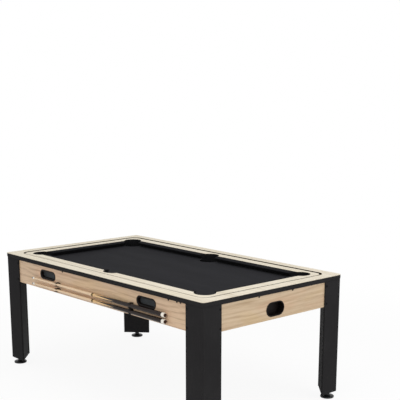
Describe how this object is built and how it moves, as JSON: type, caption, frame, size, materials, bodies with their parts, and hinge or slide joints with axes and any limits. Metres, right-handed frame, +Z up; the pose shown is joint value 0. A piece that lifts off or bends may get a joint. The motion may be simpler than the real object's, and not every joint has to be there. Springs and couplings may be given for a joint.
{
  "type": "multi game table",
  "caption": "Games table whose playfield turns in its frame, pool with pockets on one face and air hockey on the other, with cues clipped to the side.",
  "frame": {"origin": "on the floor under the middle of the table top", "axes": "+X along the table to the end seen in the picture, +Z up, -Y is the long side with the cue clips"},
  "size_m": [2.13, 1.2135, 0.826],
  "materials": {
    "oak_top": "satin pale oak foil on board",
    "oak_apron": "satin light oak foil on board",
    "black_laminate": "satin black foil on board",
    "black_plastic": "matt black",
    "black_cloth": "black woven cloth",
    "hockey_gloss": "high gloss black",
    "steel": "bright zinc plate",
    "maple_cue": "varnished maple",
    "pine_beam": "bare softwood"
  },
  "bodies": {
    "frame": {"top_frame": "black_laminate", "top_frame_oak_panel": "oak_top", "leg_front_left": "black_laminate", "leg_front_right": "black_laminate", "leg_back_left": "black_laminate", "leg_back_right": "black_laminate", "apron_front": "oak_apron", "apron_back": "oak_apron", "apron_left": "oak_apron", "apron_right": "oak_apron", "window_tray_front_left": "black_plastic", "window_tray_front_right": "black_plastic", "window_tray_back_left": "black_plastic", "window_tray_back_right": "black_plastic", "puck_tray_left": "black_plastic", "puck_tray_right": "black_plastic", "cue_clip_upper_left": "black_plastic", "cue_clip_upper_right": "black_plastic", "cue_clip_lower_left": "black_plastic", "cue_clip_lower_right": "black_plastic", "pivot_beam_left": "pine_beam", "pivot_beam_right": "pine_beam"},
    "playfield": {"cabinet_side_front": "oak_apron", "cabinet_side_back": "oak_apron", "cabinet_end_left": "oak_apron", "cabinet_end_right": "oak_apron", "cabinet_corner_front_left": "black_laminate", "cabinet_corner_front_right": "black_laminate", "cabinet_corner_back_left": "black_laminate", "cabinet_corner_back_right": "black_laminate", "pool_rim": "oak_top", "pool_rim_edging": "black_laminate", "pool_bed_cloth": "black_cloth", "hockey_rim": "oak_top", "hockey_rim_edging": "black_laminate", "hockey_field": "hockey_gloss", "cushion_front_left": "black_cloth", "cushion_front_right": "black_cloth", "cushion_back_left": "black_cloth", "cushion_back_right": "black_cloth", "cushion_left": "black_cloth", "cushion_right": "black_cloth", "pocket_front_left": "black_plastic", "pocket_front_middle": "black_plastic", "pocket_front_right": "black_plastic", "pocket_back_left": "black_plastic", "pocket_back_middle": "black_plastic", "pocket_back_right": "black_plastic", "pivot_shaft_left": "steel", "pivot_shaft_right": "steel", "blower_housing": "black_plastic"},
    "impeller": {"blower_impeller": "black_plastic"},
    "lock_left": {"lock_bolt_left": "steel"},
    "lock_right": {"lock_bolt_right": "steel"},
    "cue_upper": {"cue_upper": "maple_cue"},
    "cue_lower": {"cue_lower": "maple_cue"},
    "levelling_foot_front_left": {"levelling_foot_front_left": "black_plastic"},
    "levelling_foot_front_right": {"levelling_foot_front_right": "black_plastic"},
    "levelling_foot_back_left": {"levelling_foot_back_left": "black_plastic"},
    "levelling_foot_back_right": {"levelling_foot_back_right": "black_plastic"}
  },
  "joints": [
    {"name": "playfield_turn", "type": "hinge", "parent": "frame", "child": "playfield", "pos_m": [0, 0, 0.732], "axis": [1, 0, 0], "continuous": true},
    {"name": "impeller_spin", "type": "hinge", "parent": "playfield", "child": "impeller", "pos_m": [0.35, 0.4825, 0.7185], "axis": [0, 1, 0], "continuous": true},
    {"name": "lock_left_slide", "type": "slide", "parent": "frame", "child": "lock_left", "axis": [1, 0, 0], "range_m": [0, 0.0185]},
    {"name": "lock_right_slide", "type": "slide", "parent": "frame", "child": "lock_right", "axis": [-1, 0, 0], "range_m": [0, 0.0185]},
    {"name": "cue_upper_lift_off", "type": "slide", "parent": "frame", "child": "cue_upper", "axis": [0, -1, 0], "range_m": [0, 0.15]},
    {"name": "cue_lower_lift_off", "type": "slide", "parent": "frame", "child": "cue_lower", "axis": [0, -1, 0], "range_m": [0, 0.15]},
    {"name": "levelling_foot_front_left_screw", "type": "slide", "parent": "frame", "child": "levelling_foot_front_left", "axis": [0, 0, -1], "range_m": [0, 0.012]},
    {"name": "levelling_foot_front_right_screw", "type": "slide", "parent": "frame", "child": "levelling_foot_front_right", "axis": [0, 0, -1], "range_m": [0, 0.012]},
    {"name": "levelling_foot_back_left_screw", "type": "slide", "parent": "frame", "child": "levelling_foot_back_left", "axis": [0, 0, -1], "range_m": [0, 0.012]},
    {"name": "levelling_foot_back_right_screw", "type": "slide", "parent": "frame", "child": "levelling_foot_back_right", "axis": [0, 0, -1], "range_m": [0, 0.012]}
  ]
}
